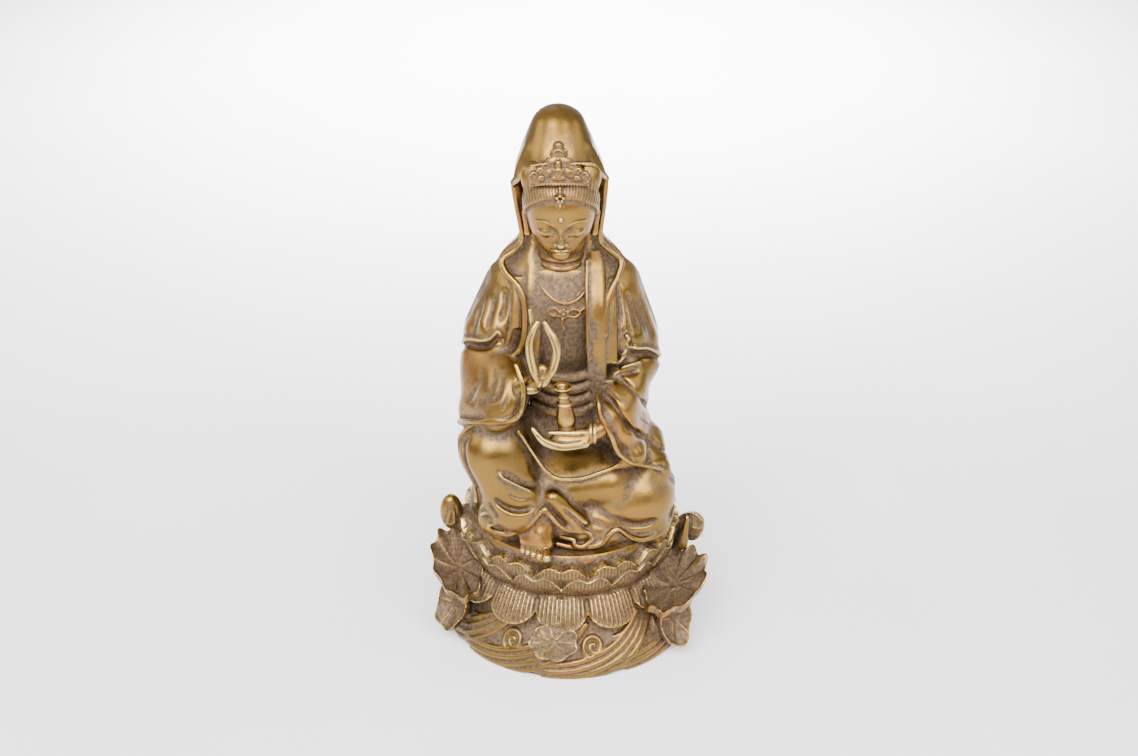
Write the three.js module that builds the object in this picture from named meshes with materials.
// Seated robed figure with a hood, a vase and one raised knee, on a lotus throne over a base of waves.
// Millimetres, +Z up, front toward -Y. The origin is the centre of the flat underside.
// The whole statue is one casting, so it is one solid. It is modelled like clay: every form is added to,
// or cut from, one grid of distances, and the surface is read off the grid and thinned at the end.

import * as THREE from "three";

// Driving sizes, measured on the statue
const FIGURE_HEIGHT = 230;      // from the seat to the top of the hood
const SEAT_HEIGHT = 70;         // top of the throne above the underside
const SEAT_RADIUS = 60.5;       // rim of the seat
const WAIST_HEIGHT = 43;        // narrow band between the standing and the hanging petals
const WAIST_RADIUS = 54;
const BASE_RADIUS = 68;         // ring of waves at the table
const PETAL_COUNT = 13;         // petals in each ring
const HANGING_LENGTH = 15.5;    // from the waist down to the tips of the hanging petals
const WAVE_COUNT = 9;           // curls round the base
const CURL_HEIGHT = 17;         // middle of a curl above the underside
const LEAF_RADIUS = 13;         // the big leaves at the sides; the others follow them
const LOW_LEAF_RADIUS = 9.5;    // the leaves below them
const LEAF_THICKNESS = 3.4;
const BUD_HEIGHT = 22;
const BUD_RADIUS = 5.5;

// The figure is drawn 230 units tall from the seat and scaled to its height
const CANON_HEIGHT = 230;

// The grid is finer towards the head, where the forms are small
const CELL = 1.7;
const TAPER = [[SEAT_HEIGHT + 0.35 * FIGURE_HEIGHT, 1], [SEAT_HEIGHT + 0.66 * FIGURE_HEIGHT, 0.62]];
const GRID_HALF = [BASE_RADIUS + 22, BASE_RADIUS + 16];
const FAR = 9;
const TRIANGLES = 9800;

// Small helpers

function blend(table, at) {
  let i = 1;
  while (i < table.length - 1 && table[i][0] < at) i += 1;
  const [x0, y0] = table[i - 1];
  const [x1, y1] = table[i];
  const t = Math.min(1, Math.max(0, (at - x0) / (x1 - x0)));
  return y0 + (y1 - y0) * t;
}

function step(e0, e1, x) {
  const t = Math.min(1, Math.max(0, (x - e0) / (e1 - e0)));
  return t * t * (3 - 2 * t);
}

const dot = (a, b) => a[0] * b[0] + a[1] * b[1] + a[2] * b[2];
const minus = (a, b) => [a[0] - b[0], a[1] - b[1], a[2] - b[2]];
const unit = (a) => a.map((v) => v / Math.hypot(a[0], a[1], a[2]));
const cross = (a, b) => [a[1] * b[2] - a[2] * b[1], a[2] * b[0] - a[0] * b[2], a[0] * b[1] - a[1] * b[0]];

// Rows of numbers along a smooth curve through the given rows
function curve(rows, per) {
  if (rows.length === 2) return rows;
  const far = (a, b) => a.map((v, i) => 2 * v - b[i]);
  const q = [far(rows[0], rows[1]), ...rows, far(rows[rows.length - 1], rows[rows.length - 2])];
  const out = [];
  for (let i = 0; i < rows.length - 1; i += 1) {
    for (let s = 0; s < per; s += 1) {
      const t = s / per;
      out.push(q[i].map((a, n) => {
        const [b, c, d] = [q[i + 1][n], q[i + 2][n], q[i + 3][n]];
        const bend = (2 * a - 5 * b + 4 * c - d) * t * t;
        return 0.5 * (2 * b + (c - a) * t + bend + (3 * b - a - 3 * c + d) * t ** 3);
      }));
    }
  }
  out.push(rows[rows.length - 1]);
  return out;
}

// The clay: a grid of distances to the surface, below zero inside

class Clay {
  constructor() {
    this.z = [-3];
    while (this.z[this.z.length - 1] < SEAT_HEIGHT + FIGURE_HEIGHT + 4) {
      const z = this.z[this.z.length - 1];
      this.z.push(z + CELL * blend(TAPER, z));
    }
    this.w = this.z.map((z) => CELL * blend(TAPER, z));
    this.nx = Math.floor(2 * GRID_HALF[0] / CELL) + 1;
    this.ny = Math.floor(2 * GRID_HALF[1] / CELL) + 1;
    this.nz = this.z.length;
    this.f = new Float32Array(this.nx * this.ny * this.nz).fill(FAR);
    this.frame(1, 0);
  }

  // Units and height of the drawing that follows
  frame(scale, lift) {
    this.scale = scale;
    this.lift = lift;
  }

  // Calls work(x, y, z, index) for each cell of a box; the coordinates are the drawing's
  each(lo, hi, work) {
    const { nx, ny, scale, lift } = this;
    for (let k = 0; k < this.nz; k += 1) {
      const z = (this.z[k] - lift) / scale;
      if (z < lo[2] || z > hi[2]) continue;
      const w = this.w[k] / scale;
      const i0 = Math.max(0, Math.floor(lo[0] / w + (nx - 1) / 2));
      const i1 = Math.min(nx - 1, Math.ceil(hi[0] / w + (nx - 1) / 2));
      const j0 = Math.max(0, Math.floor(lo[1] / w + (ny - 1) / 2));
      const j1 = Math.min(ny - 1, Math.ceil(hi[1] / w + (ny - 1) / 2));
      for (let j = j0; j <= j1; j += 1) {
        const y = (j - (ny - 1) / 2) * w;
        for (let i = i0; i <= i1; i += 1) work((i - (nx - 1) / 2) * w, y, z, (k * ny + j) * nx + i);
      }
    }
  }

  // Joins or cuts a form whose distance is d, rounding the seam over k
  join(n, d, k, cut) {
    const a = cut ? -this.f[n] : this.f[n];
    const b = d * this.scale;
    const round = k * this.scale;
    const h = Math.max(round - Math.abs(a - b), 0);
    const joined = Math.min(a, b) - (round > 0 ? h * h * 0.25 / round : 0);
    this.f[n] = cut ? -joined : joined;
  }

  // A round rope through rows of x, y, z and radius
  tube(rows, k, cut = false) {
    const p = curve(rows, 4);
    const pad = Math.max(...p.map((r) => r[3])) + k + 3;
    const lo = [0, 1, 2].map((n) => Math.min(...p.map((r) => r[n])) - pad);
    const hi = [0, 1, 2].map((n) => Math.max(...p.map((r) => r[n])) + pad);
    const near = new Map();
    for (let s = 0; s < p.length - 1; s += 1) {
      const [a, b] = [p[s], p[s + 1]];
      const e = Math.max(a[3], b[3]) + k + 3;
      const ab = minus(b, a);
      const ll = dot(ab, ab) + 1e-9;
      const low = [0, 1, 2].map((n) => Math.max(lo[n], Math.min(a[n], b[n]) - e));
      const high = [0, 1, 2].map((n) => Math.min(hi[n], Math.max(a[n], b[n]) + e));
      this.each(low, high, (x, y, z, n) => {
        const q = [x - a[0], y - a[1], z - a[2]];
        const t = Math.min(1, Math.max(0, dot(q, ab) / ll));
        const away = Math.hypot(q[0] - t * ab[0], q[1] - t * ab[1], q[2] - t * ab[2]);
        const d = away - a[3] - t * (b[3] - a[3]);
        const old = near.get(n);
        if (old === undefined || d < old) near.set(n, d);
      });
    }
    for (const [n, d] of near) this.join(n, d, k, cut);
  }

  limb(a, b, ra, rb, k) {
    this.tube([[...a, ra], [...b, rb]], k);
  }

  // An egg; axes are the directions of its three radii
  ball(c, r, k, axes = [[1, 0, 0], [0, 1, 0], [0, 0, 1]], cut = false) {
    const reach = [0, 1, 2].map((n) => Math.hypot(...axes.map((a, m) => a[n] * r[m])) + k + 3);
    this.each(minus(c, reach), c.map((v, n) => v + reach[n]), (x, y, z, n) => {
      const v = [x - c[0], y - c[1], z - c[2]];
      const q = axes.map((a, m) => dot(v, a) / r[m]);
      const k0 = Math.hypot(...q);
      const k1 = Math.hypot(q[0] / r[0], q[1] / r[1], q[2] / r[2]) + 1e-6;
      this.join(n, k0 * (k0 - 1) / k1, k, cut);
    });
  }

  // An upright form from rows of height, centre x and y, half width, front depth, back depth
  column(rows, k, power = 2, cut = false) {
    const p = curve(rows, 8).sort((a, b) => a[0] - b[0]);
    const at = (z, n) => blend(p.map((r) => [r[0], r[n]]), z);
    const low = p[0][0];
    const high = p[p.length - 1][0];
    const pad = k + 4;
    const x0 = Math.min(...p.map((r) => r[1] - r[3])) - pad;
    const x1 = Math.max(...p.map((r) => r[1] + r[3])) + pad;
    const y0 = Math.min(...p.map((r) => r[2] - r[4])) - pad;
    const y1 = Math.max(...p.map((r) => r[2] + r[5])) + pad;
    let last = NaN;
    let row = [];
    this.each([x0, y0, low - pad], [x1, y1, high + pad], (x, y, z, n) => {
      if (z !== last) row = [1, 2, 3, 4, 5].map((m) => at(z, m));
      last = z;
      const [cx, cy, rx, front, back] = row;
      const ry = y < cy ? front : back;
      const q = (Math.abs((x - cx) / rx) ** power + Math.abs((y - cy) / ry) ** power) ** (1 / power);
      const d = Math.max((q - 1) * Math.min(rx, ry), z - high, low - z);
      this.join(n, d, k, cut);
    });
  }

  // A groove (depth above 0) or a ridge (below 0) worked along a curve, pressed in from one direction
  stroke(rows, width, depth, press, ends) {
    const p = curve(rows, 5);
    const n = unit(press);
    const far = width * 2.2 + 1;
    const through = 0.2;
    const reach = n.map((v) => far + Math.abs(v) * far / through);
    const lo = [0, 1, 2].map((m) => Math.min(...p.map((r) => r[m])) - reach[m]);
    const hi = [0, 1, 2].map((m) => Math.max(...p.map((r) => r[m])) + reach[m]);
    const parts = p.slice(1).map((b, i) => {
      const ab = minus(b, p[i]);
      const along = dot(ab, n);
      const flat = ab.map((v, m) => v - along * n[m]);
      return { a: p[i], ab, flat, ll: dot(flat, flat) + 1e-9 };
    });
    this.each(lo, hi, (x, y, z, cell) => {
      let best = 1e6;
      let place = 0;
      parts.forEach(({ a, ab, flat, ll }, i) => {
        const v = [x - a[0], y - a[1], z - a[2]];
        const t = Math.min(1, Math.max(0, dot(v, flat) / ll));
        const q = [v[0] - t * ab[0], v[1] - t * ab[1], v[2] - t * ab[2]];
        const d2 = dot(q, q) - (1 - through ** 2) * dot(q, n) ** 2;
        if (d2 < best) {
          best = d2;
          place = (i + t) / parts.length;
        }
      });
      if (best > far * far) return;
      const fade = ends > 0 ? step(0, ends, place) * step(0, ends, 1 - place) : 1;
      this.f[cell] += depth * this.scale * fade * Math.exp(-best / (width * width));
    });
  }
}

// The throne and its petals

const PITCH = (2 * Math.PI) / PETAL_COUNT;
const PETAL_PHASE = -0.07;      // radians: the middle petals stand a little left of the centre line
const BOWL = SEAT_HEIGHT - WAIST_HEIGHT;
const FIRST_CURL = 12;          // degrees from the front

// Outline of the base, waist and seat, as heights and radii
const CORE = [
  [-2, BASE_RADIUS - 1], [0, BASE_RADIUS - 0.6], [0.12 * WAIST_HEIGHT, BASE_RADIUS + 0.2],
  [0.23 * WAIST_HEIGHT, BASE_RADIUS - 0.5], [0.37 * WAIST_HEIGHT, BASE_RADIUS - 3.5],
  [0.56 * WAIST_HEIGHT, BASE_RADIUS - 9.5], [0.79 * WAIST_HEIGHT, WAIST_RADIUS - 1],
  [WAIST_HEIGHT, WAIST_RADIUS - 3], [WAIST_HEIGHT + 0.26 * BOWL, WAIST_RADIUS - 3],
  [WAIST_HEIGHT + 0.56 * BOWL, WAIST_RADIUS - 1], [SEAT_HEIGHT - 3, SEAT_RADIUS - 4.5],
  [SEAT_HEIGHT, SEAT_RADIUS - 6],
];

const RINGS = [
  {
    phase: PETAL_PHASE, foot: WAIST_HEIGHT + 0.37 * BOWL, top: SEAT_HEIGHT - 3.4,
    low: WAIST_RADIUS + 1.6, high: SEAT_RADIUS - 1.4, bulge: 1,
  },
  {
    phase: PETAL_PHASE + PITCH / 2, foot: WAIST_HEIGHT + 1, top: WAIST_HEIGHT + 0.61 * BOWL,
    low: WAIST_RADIUS - 1.2, high: SEAT_RADIUS - 2.2, bulge: 2,
  },
];

// Place across a petal: 0 in its middle, 1 at its edges
function across(turn, phase) {
  const share = (turn - phase) / PITCH + 0.5;
  return Math.abs(share - Math.floor(share) - 0.5) * 2;
}

// Radius of a standing petal with a notched tip, or nothing below its foot
function standingPetal(turn, z, ring) {
  const u = across(turn, ring.phase);
  const v = (z - ring.foot) / (ring.top - ring.foot);
  if (v < -0.15) return -99;
  const side = Math.min(1, Math.max(0, (u - 0.35) / 0.65));
  const tip = 1 - 0.62 * side ** 2.2 - 0.13 * Math.exp(-((u / 0.2) ** 2));
  const inside = (tip - v) * (ring.top - ring.foot);
  const lip = 0.9 * Math.exp(-(((inside - 0.7) / 0.9) ** 2));
  const rise = Math.min(1, Math.max(0, v));
  const belly = ring.bulge * (1 - u * u) + 2.2 * Math.sin(3 * rise);
  return ring.low + (ring.high - ring.low) * rise + belly + lip - 6 * (1 - step(-0.4, 0.35, inside));
}

// Radius of a petal that hangs from the waist
function hangingPetal(turn, z) {
  const u = across(turn, PETAL_PHASE);
  const v = (WAIST_HEIGHT - z) / HANGING_LENGTH;
  if (v < -0.05) return -99;
  const inside = (1 - 0.42 * u ** 2.6 - v) * HANGING_LENGTH;
  const swing = 9 * Math.sin(Math.min(1, Math.max(0, v)) * 1.3);
  const lip = 0.8 * Math.exp(-((inside - 0.8) ** 2));
  const side = 3 * (1 - u * u) - 1.6 * Math.exp(-(((1 - u) / 0.07) ** 2));
  return WAIST_RADIUS - 0.6 + swing + side + lip - 7 * (1 - step(-0.6, 0.5, inside));
}

function throne(clay) {
  clay.frame(1, 0);
  const reach = Math.max(BASE_RADIUS, SEAT_RADIUS) + 6;
  clay.each([-reach, -reach, -2], [reach, reach, SEAT_HEIGHT + 4], (x, y, z, n) => {
    const turn = Math.atan2(x, -y);
    const petals = RINGS.map((ring) => standingPetal(turn, z, ring));
    const rim = Math.max(blend(CORE, z), hangingPetal(turn, z), ...petals);
    clay.join(n, Math.max((Math.hypot(x, y) - rim) * 0.85, z - SEAT_HEIGHT, -z), 0);
  });
}

// A point on the throne: degrees from the front, height, and distance out of the surface
function baseAt(degrees, z, out) {
  const turn = (degrees * Math.PI) / 180;
  const r = blend(CORE, z) + out;
  return [r * Math.sin(turn), -r * Math.cos(turn), z];
}

// A bowl-shaped leaf with a wavy rim
function leaf(clay, centre, facing, up, radius, cup, wave, waves, oval) {
  const n = unit(facing);
  const u = unit(up.map((v, i) => v - n[i] * dot(up, n)));
  const w = cross(u, n);
  const m = radius * oval + 6;
  clay.each(centre.map((v) => v - m), centre.map((v) => v + m), (x, y, z, cell) => {
    const p = [x - centre[0], y - centre[1], z - centre[2]];
    const a = dot(p, w);
    const b = dot(p, u) / oval;
    const r = Math.hypot(a, b);
    const turn = waves * Math.atan2(a, b);
    const edge = radius * (1 + 0.05 * Math.sin(turn));
    const q = Math.min(1.3, r / edge);
    const height = cup * q * q + wave * q ** 3 * Math.sin(turn + 1);
    const rim = 0.25 * Math.exp(-(((q - 0.97) / 0.05) ** 2));
    const slope = Math.hypot(1, 2 * cup * q / radius);
    const d = Math.abs(dot(p, n) - height) / slope - LEAF_THICKNESS * (0.5 + rim);
    clay.join(cell, Math.max(d, (r - edge) * 0.9), 1);
  });
}

// The head leans forward; this places a point given from its centre
const HEAD = [-4, -11, 178.5];
const HEAD_SIZE = 1.1;
const TILT = (12 * Math.PI) / 180;
const HEAD_AXES = [[1, 0, 0], [0, Math.cos(TILT), Math.sin(TILT)], [0, -Math.sin(TILT), Math.cos(TILT)]];

function headAt(x, y, z) {
  const [c, s] = [HEAD_SIZE * Math.cos(TILT), HEAD_SIZE * Math.sin(TILT)];
  return [HEAD[0] + HEAD_SIZE * x, HEAD[1] + y * c - z * s, HEAD[2] + z * c + y * s];
}

// The figure: robe, legs, sleeves, hood, head, crown, hands, vase and foot
// Units are parts of its height; x is to the right, y to the back, z is up from the seat

function robe(clay) {
  // height, middle x and y, half width, front depth and back depth
  clay.column([
    [-2, 0, 4, 55, 34, 42], [4, 0, 4, 55, 34, 42], [14, 0, 4, 52, 34, 41], [28, -1, 4, 45, 32, 39],
    [45, -2, 4, 38, 28, 36], [75, -3, 5, 31, 24, 32], [105, -3, 5, 30, 25, 30],
    [128, -3, 4, 31, 26, 29], [142, -4, 3, 30, 20, 27], [150, -4, 2, 24, 15, 24], [158, -4, 0, 15, 12, 18],
  ], 2, 2.2);
  // shoulders and upper arms
  clay.limb([-14, 4, 142], [-27, 3, 132], 11, 13, 10);
  clay.limb([8, 4, 142], [21, 3, 132], 11, 13, 10);
  clay.limb([-28, 2, 131], [-40, -4, 96], 13, 14, 6);
  clay.limb([22, 2, 131], [33, -4, 92], 13, 14, 6);
}

function legs(clay) {
  // the knee at the left of the picture is raised
  clay.limb([-20, 8, 26], [-38, -33, 53], 22, 19, 8);
  clay.limb([-38, -34, 54], [-28, -42, 25], 19, 15, 4);
  clay.limb([-36, -38, 28], [-16, -42, 26], 9, 8, 6);
  // the other leg lies flat
  clay.limb([20, 8, 20], [36, -21, 19], 20, 21, 6);
  clay.limb([36, -21, 19], [8, -38, 8], 19, 10, 5);
  // lap between the knees
  clay.limb([-14, -25, 35], [16, -23, 36], 14, 14, 6);
  clay.limb([-8, -33, 30], [20, -30, 32], 12.5, 13, 5);
  // edge of the robe that sags over the lap
  clay.tube([
    [-26, -44, 70, 1], [-22.5, -45.5, 65, 1], [-17.5, -46, 56.5, 1], [-12.5, -46, 48.5, 1.1],
    [-6, -46.5, 43.5, 1.1], [6, -46, 43, 1.1], [18, -43.5, 46, 1], [28, -40, 48, 1],
  ], 1.8);
}

function skirt(clay) {
  // robe spread on the seat
  clay.limb([-38, -31, 10], [-20, -38, 13], 11, 9, 6);
  clay.limb([-6, -36, 12], [16, -38, 4], 11, 9, 5);
  clay.limb([14, -35, 3], [44, -28, 2], 10, 10, 6);
  clay.limb([-34, -33, 1], [-6, -35, 1], 7, 7, 4);
  // its hem curls at the left and rises over the foot
  clay.tube([
    [-46.5, -38, 15.5, 1.1], [-42, -44.5, 21, 1.2], [-38.8, -48, 22.4, 1.2], [-37.2, -49.5, 20.8, 1.2],
    [-38.5, -49.5, 18, 1.2], [-41.5, -48, 15.6, 1.2], [-42, -47, 13, 1.3], [-39, -46.5, 10.6, 1.3],
    [-32.5, -48, 9.8, 1.4], [-26, -50, 13.5, 1.3], [-20.3, -53, 19.3, 1.3], [-15.4, -53.5, 26.5, 1.3],
    [-12.6, -53, 28.3, 1.3],
  ], 1.6);
  // then it falls in a flap with a rolled end
  clay.tube([
    [-12.6, -53, 28.3, 1.3], [-9.6, -53.5, 25, 1.3], [-5.8, -52.5, 19.2, 1.3], [-1, -51, 14.6, 1.3],
    [5, -50, 12.8, 1.2], [9.8, -49.5, 12, 1.2], [12, -50.5, 8.5, 1.3], [7.5, -51.5, 4.5, 1.4],
    [3, -50.5, 4.8, 1.3], [2.2, -50.5, 8, 1.2], [-4.6, -47.5, 8, 1.1],
  ], 1.2);
  clay.limb([-8.5, -47, 32], [5, -45.5, 17], 4.5, 6, 3);
  // and goes on along the seat to the right
  clay.tube([
    [-6, -47, 3, 1.5], [2, -49, 2.4, 1.6], [12, -49, 2.6, 1.6], [17.5, -48, 4, 1.5],
    [21.4, -47, 9, 1.4], [25.3, -46, 11.6, 1.3], [28.7, -44, 8.6, 1.3], [33.3, -43, 4.4, 1.5],
    [39, -42, 2.4, 1.6], [45, -39, 2.4, 1.6], [50, -33.5, 2.4, 1.6], [54, -26, 3, 1.6], [57, -10, 3, 1.8],
  ], 2);
}

function sleeves(clay) {
  // forearm and hanging sleeve at the left
  clay.limb([-40, -6, 98], [-28, -38, 95], 14, 8, 8);
  clay.limb([-43, -12, 88], [-31, -42, 88], 14, 9, 8);
  clay.limb([-44, -20, 78], [-34, -44, 81], 12, 7.5, 8);
  clay.limb([-50, -22, 70], [-38, -44, 78], 8, 6, 6);
  // its rolled hem rests on the knee and turns up to the wrist
  clay.tube([
    [-56, -20, 62, 1.8], [-57, -30, 68, 1.6], [-50, -43, 75.5, 1.5], [-40, -50.5, 79.5, 1.5],
    [-30, -53.5, 82, 1.4], [-25, -53.5, 86, 1.4], [-23.2, -51.5, 94, 1.4], [-23.5, -49.5, 102, 1.4],
    [-27, -45, 109, 1.4],
  ], 1.5);
  // forearm and sleeve at the right, laid over the flat knee
  clay.limb([33, -4, 92], [25, -34, 78], 13, 9, 8);
  clay.limb([30, -20, 82], [18, -42, 74.5], 10, 6.4, 6);
  clay.limb([30, -8, 72], [28, -38, 66], 12, 7, 8);
  clay.limb([31, -14, 60], [34, -38, 53], 12, 6.5, 8);
  clay.limb([40, -10, 44], [47, -26, 38], 12, 7, 8);
  // its rolled hem runs round the wrist, then over the thigh to the outer side of the knee
  clay.tube([
    [14.5, -38, 89, 1.1], [15.2, -43.5, 86, 1.2], [16, -46.5, 81, 1.2], [19.2, -48.5, 75.5, 1.2],
    [22, -49, 69.5, 1.3], [24.3, -48, 62, 1.3], [27.8, -47, 56.8, 1.3], [33, -45, 52, 1.4],
    [42.5, -39, 46.5, 1.4], [50, -31.5, 39.5, 1.4], [55.5, -23, 30, 1.4], [57, -4, 10, 1.5],
  ], 1.5);
}

function cape(clay) {
  // outer cape over the back and the upper arms
  clay.column([
    [104, -4, 6, 51, 8, 33], [112, -4, 6, 49, 8, 32], [126, -4, 6, 43, 8, 30], [138, -4, 6, 37, 6, 28],
    [146, -4, 5, 30, 4, 27], [154, -4, 4, 22, 3, 23],
  ], 3);
  clay.limb([-28, 3, 132], [-41, -2, 106], 14.5, 14.8, 3);
  clay.limb([-26, -6, 130], [-35.5, -10.5, 114], 12, 13, 5);
  clay.limb([22, 3, 132.5], [33, -2, 103], 14.5, 14.2, 3);
  clay.limb([20, -6, 130], [28.5, -11.5, 110], 12, 12, 5);
  // hems that run out into loose points, each over a shadow
  const front = [0, -0.88, 0.47];
  const left = [
    [-58, -4, 100], [-53, -11, 107], [-46, -17, 109], [-40, -21, 112], [-36.5, -23, 117], [-34.5, -23, 113],
  ];
  const right = [
    [50, -2, 92], [46, -9, 98], [41, -14, 103], [35, -20, 106], [31, -23, 109], [30.5, -23, 114],
    [28, -22, 115],
  ];
  for (const hem of [left, right]) {
    clay.stroke(hem, 1.3, -2.4, front, 0.1);
    clay.stroke(hem.map(([x, y, z]) => [x * 1.02, y, z - 3.4]), 1.7, 3.2, front, 0.2);
  }
  clay.stroke([[32, -22, 108], [27, -25, 104.5], [21, -28, 104]], 1.3, -2, front, 0.1);
}

function hood(clay) {
  clay.column([
    [229.8, -5.5, 3, 1, 1, 1], [229.2, -5.5, 3, 4.4, 4.4, 4.4], [227.6, -5.5, 3, 8, 8, 8],
    [224, -5.4, 3, 12, 12, 12.5],
    [216, -5.4, 2, 15.9, 18, 18.5], [206, -5.2, 1.5, 19.8, 22.5, 23.5], [196, -4.8, 1.5, 22.8, 22, 25.5],
    [180, -4.5, 2, 21.6, 15, 25], [166, -4, 3, 19.8, 12, 24], [157, -4, 3, 24, 11, 25],
    [150, -4, 3, 30, 10, 28], [142, -4, 3, 30, 7, 30],
  ], 3);
  // hollow behind the front edge, for the head
  clay.column([
    [206, -5, -10, 9, 22, 2], [203, -5, -8, 17, 22, 6], [195, -5, -8, 20.6, 22, 8],
    [180, -4.4, -8, 19, 22, 6], [166, -4, -8, 17.4, 22, 5], [158, -4, -10, 20, 22, 5],
    [151, -4, -13, 26, 22, 4], [147, -4, -16, 24, 20, 3],
  ], 1, 2, true);
  // rolled edge over the brow, then down both sides over the chest
  clay.tube([
    [-27.5, -10, 193.5, 1.3], [-24.5, -16, 198, 1.2], [-21.5, -18, 204, 1.2], [-14, -20, 207, 1.2],
    [-5, -21.5, 208, 1.2], [5, -20, 207.5, 1.2], [12, -18, 206, 1.2], [15.5, -15.5, 200.5, 1.2],
    [18.5, -9, 195.5, 1.3],
  ], 1.2);
  clay.tube([
    [-28, -9, 193.5, 1.3], [-27.4, -8, 188, 1.3], [-26.3, -8, 180, 1.3], [-23.9, -8, 163.5, 1.4],
    [-27.5, -7, 156, 1.5], [-34, -9, 151.5, 1.7], [-32, -14, 146.5, 1.6], [-26, -19, 141.5, 1.5],
    [-23, -22, 134, 1.5], [-22.5, -24, 126, 1.5], [-23.2, -25.5, 116, 1.5], [-26, -27, 108, 1.4],
    [-32, -27, 103, 1.2],
  ], 1.2);
  clay.tube([
    [18.5, -9, 195.5, 1.3], [18.2, -8, 189, 1.3], [17.5, -8, 180, 1.3], [15.8, -8, 163, 1.4],
    [19.5, -7, 157, 1.5], [26.5, -8, 150.5, 1.7], [25, -13, 144, 1.6], [21.5, -18, 138, 1.6],
    [19.4, -22, 129, 1.4], [19, -25.5, 117, 1.2],
  ], 1.2);
  clay.column([
    [101, 21.6, -25.6, 3.3, 2.4, 5], [117, 21.6, -23, 3.3, 2.4, 5], [129, 21.4, -20, 3.3, 2.4, 5],
    [137, 21.6, -16.5, 3.1, 2.2, 5], [143, 22.4, -12, 2.4, 1.8, 5],
  ], 0.8, 3);
}

function dress(clay) {
  // chest inside the open robe, with the edge of the dress
  clay.ball([-4, -3, 128], [21, 19, 23], 4);
  clay.ball([-4, -1, 145], [20, 12, 10], 5);
  clay.tube([
    [-14, -17, 140, 0.8], [-9, -21, 135.5, 0.9], [-2.5, -22.6, 133, 0.9], [4.5, -21.6, 135, 0.9],
    [9, -18.5, 139.5, 0.8],
  ], 0.8);
  // collar and stole at the left of the picture
  clay.column([
    [84, -20, -21, 4.6, 3, 5], [100, -19.6, -21.5, 4.6, 3, 5], [120, -18.4, -20, 4.6, 2.8, 5],
    [138, -17.8, -15.5, 4.4, 2.6, 5], [148, -17.4, -10, 3.8, 2.4, 5], [153, -16.8, -6, 2.6, 1.6, 5],
  ], 1, 2.6);
  clay.column([
    [118, -27.3, -18, 3.2, 3.6, 4], [130, -27.2, -16.5, 3.2, 3.2, 4], [144, -26.4, -11, 3.2, 3, 4],
  ], 0.6, 4);
  // broad lapel at the right, with a narrow rib along its inner side
  clay.column([
    [76, 17, -24, 4.4, 3, 5], [92, 15, -26, 4.8, 3.2, 5], [106, 14.6, -25.6, 4.9, 3.2, 5],
    [122, 14.3, -23.4, 4.9, 3.2, 5], [132, 14.1, -21, 4.9, 3.2, 5], [142, 13.9, -16, 4.8, 3, 5],
    [150, 13.5, -11, 4.4, 2.8, 5], [156, 13, -6, 3, 1.6, 5],
  ], 1, 2.6);
  clay.tube([
    [9, -11, 152, 0.9], [9, -19.2, 141, 0.9], [9.2, -24, 130, 0.9], [9.5, -27.5, 112, 0.9],
    [10.5, -28, 95, 0.9],
  ], 0.6);
  // folds of the sash
  for (let fold = 0; fold < 4; fold += 1) {
    clay.tube([
      [-19, -21, 95 - 7 * fold, 2.2], [-8, -26.5, 93 - 7 * fold, 2.7], [5, -27, 93.5 - 7 * fold, 2.7],
      [14, -23, 96 - 7 * fold, 2.2],
    ], 2.5);
  }
  // ends of the knotted cloth
  clay.tube([[-2, -25, 116, 1.6], [1, -29, 111, 2.3], [0, -31, 105, 2.3], [-4, -31, 99, 1.6]], 1.2);
  clay.tube([[3, -26, 115, 1.4], [6, -29, 110, 2.1], [4, -31, 105, 2], [7.5, -30.5, 100, 1.6]], 1.2);
}

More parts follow.
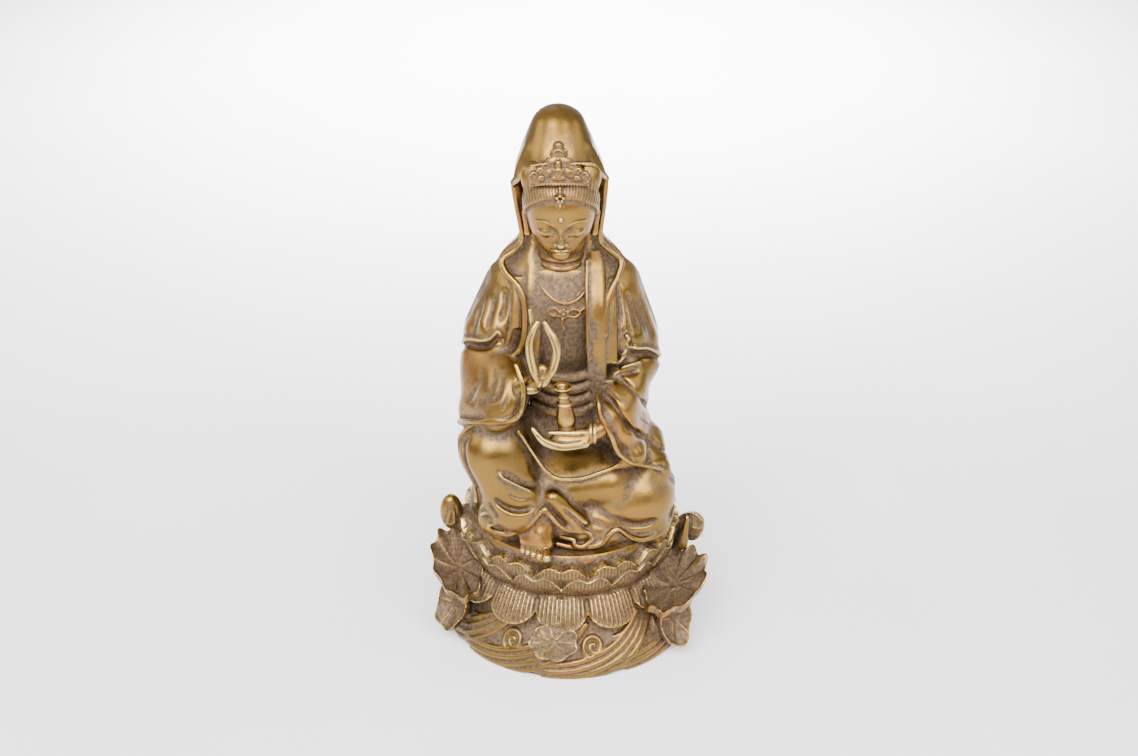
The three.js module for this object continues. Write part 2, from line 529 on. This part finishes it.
function folds(clay) {
  const front = [0, -0.88, 0.47];
  const back = [0, 1, 0.1];
  // cape
  clay.stroke([[-33, -14, 139], [-33, -18, 129], [-36, -21, 119]], 1.9, 2, front, 0.3);
  clay.stroke([[-38, -12, 134], [-40, -15, 124], [-44, -19, 113]], 2, 1.8, front, 0.3);
  clay.stroke([[-45, -8, 128], [-48, -12, 118], [-51, -15, 111]], 2, 1.2, front, 0.3);
  clay.stroke([[25, -15, 144], [26, -17, 131], [27, -21, 117]], 1.8, 2, front, 0.3);
  clay.stroke([[29, -13, 137], [33, -15, 125], [37, -17, 112]], 2, 1.8, front, 0.3);
  clay.stroke([[34, -8, 132], [39, -12, 120], [44, -14, 106]], 2, 1.2, front, 0.3);
  // hanging sleeve at the left
  clay.stroke([[-33, -44, 111], [-34, -49, 103], [-36, -50, 95], [-40.5, -48, 89]], 1.7, 3.2, front, 0.3);
  clay.stroke([[-38, -38, 110], [-38, -46, 100], [-42, -46, 91], [-47, -42, 85]], 2, 1.6, front, 0.3);
  clay.stroke([[-45, -34, 104], [-46, -38, 98], [-50, -34, 87], [-53, -28, 77]], 1.6, 1.8, front, 0.3);
  clay.stroke([[-28, -46, 114], [-28, -50, 107], [-27.5, -51, 100], [-26, -52, 93]], 1.4, 2, front, 0.3);
  // sleeve at the right
  clay.stroke([[25, -26, 97.5], [32, -22, 97.5], [39, -16, 96.5]], 1.3, -2, front, 0.2);
  clay.stroke([[23, -28, 94], [31, -24, 93.5], [37, -18, 92]], 1.5, 2, front, 0.3);
  clay.stroke([[22, -30, 95], [28, -28, 91], [37, -22, 77], [47.5, -8, 60]], 1.8, 2.8, front, 0.2);
  clay.stroke([
    [15, -38, 90], [21, -38, 85.5], [30, -37, 70], [36, -34, 63], [43, -29, 55.5], [56, -10, 35],
  ], 1.8, 3.4, front, 0.2);
  // edge of the robe at the raised leg, with a shadow inside it
  clay.tube([
    [-49, -41, 73, 1.2], [-54, -38, 67.5, 1.3], [-57, -34.5, 60, 1.4], [-56.5, -36, 53.5, 1.4],
    [-54, -38.5, 46, 1.4], [-50.5, -40.5, 39.5, 1.4], [-49, -41.5, 34, 1.3], [-49, -42, 27, 1.2],
  ], 1.2);
  clay.stroke([
    [-50, -44, 68], [-54, -40, 61], [-53.5, -42, 51], [-49, -45, 40], [-46, -46, 29],
  ], 1.4, 2, front, 0.2);
  // raised leg
  clay.stroke([
    [-38, -56, 55], [-34.3, -56, 49.7], [-28.5, -56, 46], [-22.8, -55, 42.3], [-15, -53, 36.5],
  ], 1.2, -1.8, front, 0.25);
  clay.stroke([[-36, -56, 56], [-27, -55, 48], [-19, -53, 43.5], [-11, -50, 42]], 1.6, 1.7, front, 0.3);
  clay.stroke([
    [-40, -49, 35], [-35.5, -52, 31.5], [-30, -54, 29.5], [-24.4, -54, 28.8], [-16.7, -53.5, 31],
  ], 1.9, 3.4, front, 0.2);
  clay.stroke([[-43, -47, 31], [-39, -50, 26], [-36, -50, 20]], 1.6, 1.6, front, 0.3);
  // lap and flat leg
  clay.stroke([[-10, -44, 53], [3, -44, 51], [11.6, -43, 54], [18, -42, 58.6]], 0.9, -1.2, front, 0.2);
  clay.stroke([
    [7.5, -48, 33], [16, -48, 24.5], [24, -46, 18], [33, -43, 12.5], [41.5, -40, 11.3], [48, -35, 12],
  ], 1.9, 2.8, front, 0.2);
  clay.stroke([[-2, -49, 33], [5, -49, 26], [13, -49, 18], [20.5, -48, 12.5]], 1.6, 1.6, front, 0.3);
  clay.stroke([[-4.7, -50, 29], [4.7, -50, 19], [11, -50, 13]], 1.3, 1.8, front, 0.25);
  // long folds down the back
  for (let fold = 0; fold < 5; fold += 1) {
    const side = fold - 2;
    clay.stroke([
      [-4 + 11 * side, 34, 98], [-4 + 13 * side, 38, 60], [-3 + 17 * side, 40, 30],
      [-2 + 20 * side, 42, 2],
    ], 3.2, 1.8, back, 0.4);
    clay.stroke([
      [-4 + 8 * side, 28, 148], [-4 + 13 * side, 36, 128], [-4 + 18 * side, 38, 106],
    ], 3, 1.2, back, 0.4);
  }
}

function headBall(clay, at, radii, k, cut) {
  const size = [HEAD_SIZE * radii[0], HEAD_SIZE * radii[1], HEAD_SIZE * radii[2]];
  clay.ball(headAt(at[0], at[1], at[2]), size, k, HEAD_AXES, cut);
}

function headTube(clay, rows, k, cut) {
  const placed = [];
  for (const row of rows) {
    placed.push([...headAt(row[0], row[1], row[2]), HEAD_SIZE * row[3]]);
  }
  clay.tube(placed, k, cut);
}

function hairAt(turn, height, out) {
  // angle from the middle of the forehead, height above the eyes and distance out of the skull
  const level = Math.min(1, (height - 7) / (17.6 + out));
  const width = Math.sqrt(1 - level * level);
  const x = (16.6 + out) * Math.sin(turn) * width;
  const y = 1 - (18.6 + out) * Math.cos(turn) * width;
  return headAt(x, y, height);
}

function hair(clay, count, radius, out) {
  // locks part in the middle and sweep round to the ears, one above another
  for (let lock = 0; lock < count; lock += 1) {
    const share = lock / (count - 1);
    for (const side of [-1, 1]) {
      const rows = [];
      for (let bead = 0; bead < 8; bead += 1) {
        const along = bead / 7;
        const height = 17.8 + 6.4 * share - (20 - 11 * share) * along ** 2.4;
        rows.push([...hairAt(side * (0.04 + 1.5 * along), height, out), radius * (1 - 0.3 * along)]);
      }
      clay.tube(rows, 0.4 * radius);
    }
  }
}

function head(clay) {
  clay.limb([-4, -3, 146], [-4, -7, 168], 12.5, 11, 4);
  headBall(clay, [0, 1, 7], [16.6, 18.6, 17.6], 2, false);
  headBall(clay, [0, -3.5, -1], [14.6, 14, 16.2], 3, false);
  headBall(clay, [0, -7, -11.5], [8.4, 7.5, 6.5], 6, false);
  headTube(clay, [[0, -16.4, 4.5, 1.1], [0, -17.6, -1.5, 1.3], [0, -18.8, -5.4, 1.7]], 1.4, false);
  hair(clay, 7, 2.2, 0);
  for (const side of [-1, 1]) {
    headTube(clay, [
      [side * 15.4, -3, 2.5, 1.3], [side * 16.4, -1.5, 1, 1.5], [side * 16, -2, -5, 1.2],
      [side * 15.2, -2.6, -9.5, 1.7],
    ], 0.8, false);
  }
}

function crown(clay) {
  // lower edge, then a plate that steps inwards and leans back against the hood
  clay.tube([
    [-18.5, -24, 198.8, 1.3], [-12, -28.6, 201.2, 1.4], [-4.8, -30.8, 202, 1.5], [2.4, -28.6, 201.2, 1.4],
    [9, -24, 199, 1.3],
  ], 0.8);
  clay.ball([-4.8, -27.6, 205], [9.6, 3, 4.6], 1);
  clay.ball([-4.9, -25.4, 209.5], [7, 2.8, 4.8], 1);
  clay.ball([-5, -23, 213.5], [4.6, 2.6, 4], 0.8);
  clay.ball([-5.2, -21, 217], [2.9, 2.2, 2.7], 0.6);
  // small seated figure in its middle
  clay.ball([-5.2, -29.6, 206], [3.6, 2.4, 2.6], 0.6);
  clay.ball([-5.3, -28.8, 210.4], [1.9, 1.9, 2.2], 0.5);
  for (const side of [-1, 1]) {
    clay.ball([-4.8 + side * 12, -25.4, 202.6], [3.4, 2.4, 3.8], 0.8);
    clay.ball([-4.8 + side * 8.6, -26.4, 205.6], [3, 2.4, 4], 0.8);
  }
}

function vase(clay) {
  clay.column([
    [71, -1, -48, 3.3, 3.3, 3.3], [74, -1.2, -48, 3.9, 3.9, 3.9], [80, -1.5, -48, 5, 5, 5],
    [87, -2.2, -48, 3.9, 3.9, 3.9], [93, -2.9, -48, 2.6, 2.6, 2.6], [96, -3.2, -48, 3, 3, 3],
    [98.5, -3.4, -48, 4.3, 4.3, 4.3],
  ], 0.6);
  // open mouth
  clay.tube([[-3.2, -48, 94.5, 1.2], [-3.6, -48, 101.5, 4]], 0, true);
}

function raisedHand(clay) {
  // fingers bend together, the little finger stands up
  clay.limb([-26, -42, 95], [-16, -46, 101], 5.2, 4, 3);
  clay.ball([-14, -45.5, 105], [4.8, 3, 5], 2);
  clay.tube([
    [-14.4, -48, 101, 2.9], [-17.4, -48, 107, 2.4], [-19.4, -48, 117, 2.2], [-19.6, -47.5, 124, 1.8],
    [-17.6, -46.5, 130, 1.6], [-15.6, -45.5, 133.5, 1.2],
  ], 1);
  clay.tube([
    [-12.6, -48, 101.5, 2.9], [-8.4, -47.5, 108, 2.3], [-6.2, -47, 117, 2.1], [-7.4, -46, 124, 2.2],
    [-10, -45, 128.5, 1.7], [-12.2, -44, 132.5, 1.2],
  ], 1);
  clay.limb([-17.6, -44, 130], [-19.4, -43, 139], 1.5, 0.9, 1);
}

function lowerHand(clay) {
  // palm up under the vase
  clay.limb([22, -41, 74], [10, -49.5, 71.5], 5.2, 4.4, 3);
  clay.ball([1, -51.5, 70], [11, 5.6, 4], 3);
  clay.tube([[8, -54, 69, 2.6], [-4, -56, 68.5, 2.4], [-13, -55.5, 71, 1.9], [-18.5, -53, 77, 1]], 1);
  clay.tube([[11, -50, 73, 2.6], [2, -53, 74, 2.2], [-10, -52, 74, 1]], 1);
}

function foot(clay) {
  clay.limb([-11.5, -42, 21], [-14.5, -47.5, 11], 6, 6.2, 3);
  clay.limb([-22, -46, 5], [-13, -50.5, 6], 4.4, 5, 3);
  for (let toe = 0; toe < 5; toe += 1) {
    const x = -24.4 + 2.5 * toe + 0.17 * toe ** 2;
    const y = -51.4 - 2 * toe;
    clay.limb([0.86 * x - 2.6, y + 8, 5.4], [x, y, 1.4 + 0.2 * toe], 2.1, 1.5 + 0.05 * toe ** 2, 0.5);
  }
}

function figure(clay) {
  clay.frame(FIGURE_HEIGHT / CANON_HEIGHT, SEAT_HEIGHT);
  robe(clay);
  legs(clay);
  skirt(clay);
  sleeves(clay);
  cape(clay);
  hood(clay);
  dress(clay);
  folds(clay);
  head(clay);
  crown(clay);
  vase(clay);
  raisedHand(clay);
  lowerHand(clay);
  foot(clay);
}

function leaves(clay) {
  clay.frame(1, 0);
  // at each side a long leaf lies round the waist like a dish, with a lower leaf in front of it
  const left = baseAt(-71, 0.56 * SEAT_HEIGHT, 13);
  const right = baseAt(61, 0.5 * SEAT_HEIGHT, 13);
  leaf(clay, left, [-0.14, -0.3, 0.94], [0.31, -0.92, -0.25], LEAF_RADIUS, 4, 1.7, 9, 2);
  leaf(clay, right, [0.18, -0.2, 0.96], [-0.48, -0.87, -0.1], 1.08 * LEAF_RADIUS, 4, 1.9, 9, 2);
  const lowLeft = baseAt(-66, 0.3 * SEAT_HEIGHT, 8);
  const lowRight = baseAt(55, 0.28 * SEAT_HEIGHT, 7);
  leaf(clay, lowLeft, [-0.45, -0.72, 0.5], [0.05, 0.05, 1], LOW_LEAF_RADIUS, 3, 1, 5, 1.6);
  leaf(clay, lowRight, [0.4, -0.76, 0.5], [0.05, 0.05, 1], LOW_LEAF_RADIUS, 3, 1.3, 5, 1.7);
  // one stands over the waves in front
  const middle = baseAt(-7, 0.33 * SEAT_HEIGHT, 8);
  leaf(clay, middle, [0, -0.86, 0.5], [0, 0, 1], LEAF_RADIUS, -1.5, 0.8, 7, 0.78);
  // a folded leaf stands behind the bud at the right
  const folded = baseAt(87, 0.8 * SEAT_HEIGHT, 15);
  leaf(clay, folded, [-0.3, -0.9, 0.3], [0, 0, 1], 0.62 * LEAF_RADIUS, -2, 0.6, 3, 1);
  // buds stand beside the seat on stalks that grow from the waist
  clay.ball(baseAt(-84, 0.97 * SEAT_HEIGHT, 10), [1.15 * BUD_RADIUS, BUD_RADIUS, BUD_HEIGHT / 2], 1);
  const foot = 0.72 * SEAT_HEIGHT;
  const tip = foot + 0.8 * BUD_HEIGHT;
  clay.limb(baseAt(78, foot, 13), baseAt(78, tip, 11), 0.6 * BUD_RADIUS, 0.2 * BUD_RADIUS, 1);
  for (const [degrees, share, out] of [[-83, 0.94, 9], [78, 0.76, 13], [85, 0.76, 12]]) {
    const top = share * SEAT_HEIGHT;
    clay.tube([
      [...baseAt(degrees, top, out), 0.5 * BUD_RADIUS],
      [...baseAt(degrees, top - 0.5 * BUD_HEIGHT, 0.6 * out), 0.5 * BUD_RADIUS],
      [...baseAt(degrees, top - BUD_HEIGHT, 2), 0.6 * BUD_RADIUS],
    ], 1.5);
  }
}

function waves(clay) {
  clay.frame(1, 0);
  // each wave has a curl, with long ridges that pass below it and rise towards the next
  for (let wave = 0; wave < WAVE_COUNT; wave += 1) {
    const middle = FIRST_CURL + wave * 360 / WAVE_COUNT;
    const curl = [];
    for (let bead = 0; bead < 17; bead += 1) {
      const turn = 0.6 + bead * 0.62;
      const reach = 0.8 + 0.36 * bead;
      const rise = CURL_HEIGHT + 0.9 * reach * Math.sin(turn);
      curl.push([...baseAt(middle + 0.85 * reach * Math.cos(turn), rise, 0.4), 1.3]);
    }
    clay.tube(curl, 0.8);
    for (let ridge = 0; ridge < 4; ridge += 1) {
      const sweep = [];
      for (let bead = 0; bead < 9; bead += 1) {
        const share = bead / 8;
        const height = CURL_HEIGHT - 9 - 4 * ridge + (19 + 4 * ridge) * share ** 2.2;
        sweep.push([...baseAt(middle - 30 + 58 * share + 3 * ridge, Math.max(height, 1.5), 0.1), 1.8]);
      }
      clay.tube(sweep, 0.8);
    }
    for (let ridge = 0; ridge < 2; ridge += 1) {
      const sweep = [];
      for (let bead = 0; bead < 7; bead += 1) {
        const share = bead / 6;
        const height = CURL_HEIGHT - 4 + 6.5 * ridge + 9 * share ** 1.6;
        sweep.push([...baseAt(middle - 27 + 19 * share - 2 * ridge, height, 0.1), 1.4]);
      }
      clay.tube(sweep, 0.8);
    }
  }
}

// Reading the surface off the grid

// Cuts every cell into six four-sided pieces, which always gives one closed surface
function skin(clay) {
  const { nx, ny, nz, f } = clay;
  const [dx, dy, dz] = [1, nx, nx * ny];
  const all = dx + dy + dz;
  const orders = [[dx, dy], [dx, dz], [dy, dx], [dy, dz], [dz, dx], [dz, dy]];
  const pieces = orders.map(([a, b]) => [0, a, a + b, all]);
  const edges = [dx, dy, dz, dx + dy, dx + dz, dy + dz, all];
  const points = [];
  const faces = [];
  const known = new Map();
  const place = (n) => {
    const k = Math.floor(n / dz);
    const j = Math.floor((n % dz) / dy);
    return [(n % dy - (nx - 1) / 2) * clay.w[k], (j - (ny - 1) / 2) * clay.w[k], clay.z[k]];
  };
  const between = (p, q) => {
    const [lo, hi] = p < q ? [p, q] : [q, p];
    const key = lo * 8 + edges.indexOf(hi - lo);
    if (!known.has(key)) {
      const t = Math.min(0.94, Math.max(0.06, f[lo] / (f[lo] - f[hi])));
      const [a, b] = [place(lo), place(hi)];
      known.set(key, points.length);
      points.push(a.map((v, m) => v + t * (b[m] - v)));
    }
    return known.get(key);
  };
  const piece = (corners) => {
    const inner = corners.filter((n) => f[n] < 0);
    const outer = corners.filter((n) => f[n] >= 0);
    if (inner.length === 0 || outer.length === 0) return;
    const [p, q] = [place(inner[0]), place(outer[0])];
    const pairs = inner.length === 2
      ? [[inner[0], outer[0]], [inner[1], outer[0]], [inner[1], outer[1]], [inner[0], outer[1]]]
      : inner.flatMap((a) => outer.map((b) => [a, b]));
    const loop = pairs.map(([a, b]) => between(a, b));
    const [a, b, c] = loop.map((n) => points[n]);
    const faced = dot(cross(minus(b, a), minus(c, a)), minus(q, p)) > 0 ? loop : loop.reverse();
    for (let m = 1; m < faced.length - 1; m += 1) faces.push(faced[0], faced[m], faced[m + 1]);
  };
  for (let k = 0; k < nz - 1; k += 1) {
    for (let j = 0; j < ny - 1; j += 1) {
      for (let i = 0; i < nx - 1; i += 1) {
        const n = (k * ny + j) * nx + i;
        const first = f[n] < 0;
        if (edges.some((o) => (f[n + o] < 0) !== first)) pieces.forEach((p) => piece(p.map((o) => n + o)));
      }
    }
  }
  return { points: points.flat(), faces: largest(faces, points.length) };
}

// Keeps the outer surface of the casting: sealed bubbles in the clay and loose crumbs go
function largest(faces, count) {
  const parent = Int32Array.from({ length: count }, (_, n) => n);
  const root = (n) => {
    let at = n;
    while (parent[at] !== at) at = parent[at] = parent[parent[at]];
    return at;
  };
  const size = new Map();
  faces.forEach((n, m) => {
    parent[root(n)] = root(faces[m - (m % 3)]);
  });
  faces.forEach((n) => size.set(root(n), (size.get(root(n)) ?? 0) + 1));
  const [main] = [...size].sort((a, b) => b[1] - a[1])[0];
  return faces.filter((n) => root(n) === main);
}

// Thinning: collapses the edge that changes the shape least until few enough triangles are left

function thin({ points, faces }, wanted) {
  const count = points.length / 3;
  const pos = Float64Array.from(points);
  const tri = Int32Array.from(faces);
  const total = tri.length / 3;
  const alive = new Uint8Array(total).fill(1);
  const quad = new Float64Array(count * 10);
  const ring = Array.from({ length: count }, () => []);
  const version = new Int32Array(count);
  const normal = (a, b, c) => {
    const ux = pos[b * 3] - pos[a * 3];
    const uy = pos[b * 3 + 1] - pos[a * 3 + 1];
    const uz = pos[b * 3 + 2] - pos[a * 3 + 2];
    const vx = pos[c * 3] - pos[a * 3];
    const vy = pos[c * 3 + 1] - pos[a * 3 + 1];
    const vz = pos[c * 3 + 2] - pos[a * 3 + 2];
    return [uy * vz - uz * vy, uz * vx - ux * vz, ux * vy - uy * vx];
  };
  for (let t = 0; t < total; t += 1) {
    const [a, b, c] = [tri[t * 3], tri[t * 3 + 1], tri[t * 3 + 2]];
    const n = normal(a, b, c);
    const size = Math.hypot(...n) + 1e-12;
    const [x, y, z] = n.map((v) => v / size);
    const d = -(x * pos[a * 3] + y * pos[a * 3 + 1] + z * pos[a * 3 + 2]);
    const q = [x * x, x * y, x * z, x * d, y * y, y * z, y * d, z * z, z * d, d * d];
    for (const v of [a, b, c]) {
      ring[v].push(t);
      for (let m = 0; m < 10; m += 1) quad[v * 10 + m] += q[m] * size;
    }
  }
  const error = (q, x, y, z) => q[0] * x * x + 2 * q[1] * x * y + 2 * q[2] * x * z + 2 * q[3] * x
    + q[4] * y * y + 2 * q[5] * y * z + 2 * q[6] * y + q[7] * z * z + 2 * q[8] * z + q[9];
  const plan = (a, b) => {
    const q = new Array(10);
    for (let m = 0; m < 10; m += 1) q[m] = quad[a * 10 + m] + quad[b * 10 + m];
    const rows = [[q[0], q[1], q[2]], [q[1], q[4], q[5]], [q[2], q[5], q[7]]];
    const inverse = [cross(rows[1], rows[2]), cross(rows[2], rows[0]), cross(rows[0], rows[1])];
    const det = dot(rows[0], inverse[0]);
    const mid = [0, 1, 2].map((m) => (pos[a * 3 + m] + pos[b * 3 + m]) / 2);
    const span = Math.hypot(...[0, 1, 2].map((m) => pos[a * 3 + m] - pos[b * 3 + m]));
    let best = mid;
    if (Math.abs(det) > 1e-7 * (q[0] + q[4] + q[7]) ** 3) {
      const p = [0, 1, 2].map((m) => (
        -(q[3] * inverse[0][m] + q[6] * inverse[1][m] + q[8] * inverse[2][m]) / det
      ));
      if (Math.hypot(...minus(p, mid)) < span) best = p;
    }
    const cost = Math.max(0, error(q, ...best)) + 1e-4 * span * span;
    return { a, b, va: version[a], vb: version[b], best, cost };
  };
  const heap = [];
  const push = (item) => {
    let n = heap.push(item) - 1;
    while (n > 0) {
      const up = (n - 1) >> 1;
      if (heap[up].cost <= item.cost) break;
      heap[n] = heap[up];
      n = up;
    }
    heap[n] = item;
  };
  const pop = () => {
    const top = heap[0];
    const item = heap.pop();
    if (heap.length === 0) return top;
    let n = 0;
    for (;;) {
      let down = 2 * n + 1;
      if (down >= heap.length) break;
      if (down + 1 < heap.length && heap[down + 1].cost < heap[down].cost) down += 1;
      if (heap[down].cost >= item.cost) break;
      heap[n] = heap[down];
      n = down;
    }
    heap[n] = item;
    return top;
  };
  const around = (v) => {
    const set = new Set();
    for (const t of ring[v]) for (let m = 0; m < 3; m += 1) set.add(tri[t * 3 + m]);
    set.delete(v);
    return set;
  };
  for (let t = 0; t < total; t += 1) {
    for (let m = 0; m < 3; m += 1) {
      const [a, b] = [tri[t * 3 + m], tri[t * 3 + (m + 1) % 3]];
      if (a < b) push(plan(a, b));
    }
  }
  // Would moving vertex v to p, with other as its lost neighbour, fold or squash a triangle?
  const spoils = (v, other, p) => {
    for (const t of ring[v]) {
      const c = [tri[t * 3], tri[t * 3 + 1], tri[t * 3 + 2]];
      if (c.includes(other)) continue;
      const before = normal(...c);
      const [i, j, k] = c;
      const at = (n) => (n === v ? p : [pos[n * 3], pos[n * 3 + 1], pos[n * 3 + 2]]);
      const [pa, pb, pc] = [at(i), at(j), at(k)];
      const after = cross(minus(pb, pa), minus(pc, pa));
      const big = Math.hypot(...after);
      if (dot(before, after) < 0.35 * Math.hypot(...before) * big) return true;
      const sides = [minus(pb, pa), minus(pc, pb), minus(pa, pc)];
      const edge = Math.max(...sides.map((side) => Math.hypot(...side)));
      if (big < 0.045 * edge * edge) return true;
    }
    return false;
  };
  let left = total;
  while (left > wanted && heap.length > 0) {
    const { a, b, va, vb, best } = pop();
    if (va !== version[a] || vb !== version[b]) continue;
    const na = around(a);
    const nb = around(b);
    let shared = 0;
    for (const v of na) if (nb.has(v)) shared += 1;
    if (shared !== 2) continue;
    if (spoils(a, b, best) || spoils(b, a, best)) continue;
    for (let m = 0; m < 3; m += 1) pos[a * 3 + m] = best[m];
    for (let m = 0; m < 10; m += 1) quad[a * 10 + m] += quad[b * 10 + m];
    for (const t of ring[b]) {
      const c = [tri[t * 3], tri[t * 3 + 1], tri[t * 3 + 2]];
      if (c.includes(a)) {
        alive[t] = 0;
        left -= 1;
        for (const v of c) if (v !== b) ring[v] = ring[v].filter((s) => s !== t);
      } else {
        for (let m = 0; m < 3; m += 1) if (tri[t * 3 + m] === b) tri[t * 3 + m] = a;
        ring[a].push(t);
      }
    }
    ring[b] = [];
    version[b] = -1;
    version[a] += 1;
    for (const v of around(a)) push(plan(a, v));
  }
  const index = new Map();
  const keptPoints = [];
  const keptFaces = [];
  for (let t = 0; t < total; t += 1) {
    if (!alive[t]) continue;
    for (let m = 0; m < 3; m += 1) {
      const v = tri[t * 3 + m];
      if (!index.has(v)) {
        index.set(v, keptPoints.length / 3);
        keptPoints.push(pos[v * 3], pos[v * 3 + 1], Math.max(0, pos[v * 3 + 2]));
      }
      keptFaces.push(index.get(v));
    }
  }
  return { points: keptPoints, faces: keptFaces };
}

// The part

function geometry() {
  const clay = new Clay();
  throne(clay);
  leaves(clay);
  waves(clay);
  figure(clay);
  const { points, faces } = thin(skin(clay), TRIANGLES);
  const shape = new THREE.BufferGeometry();
  shape.setAttribute("position", new THREE.Float32BufferAttribute(points, 3));
  shape.setIndex(faces);
  shape.computeVertexNormals();
  return shape;
}

const part = new THREE.Group();
const brass = new THREE.MeshStandardMaterial({ color: 0x8a6a35, roughness: 0.42, metalness: 0.9 });
const statue = new THREE.Mesh(geometry(), brass);
statue.name = "guanyin_figure";
part.add(statue);

export default part;
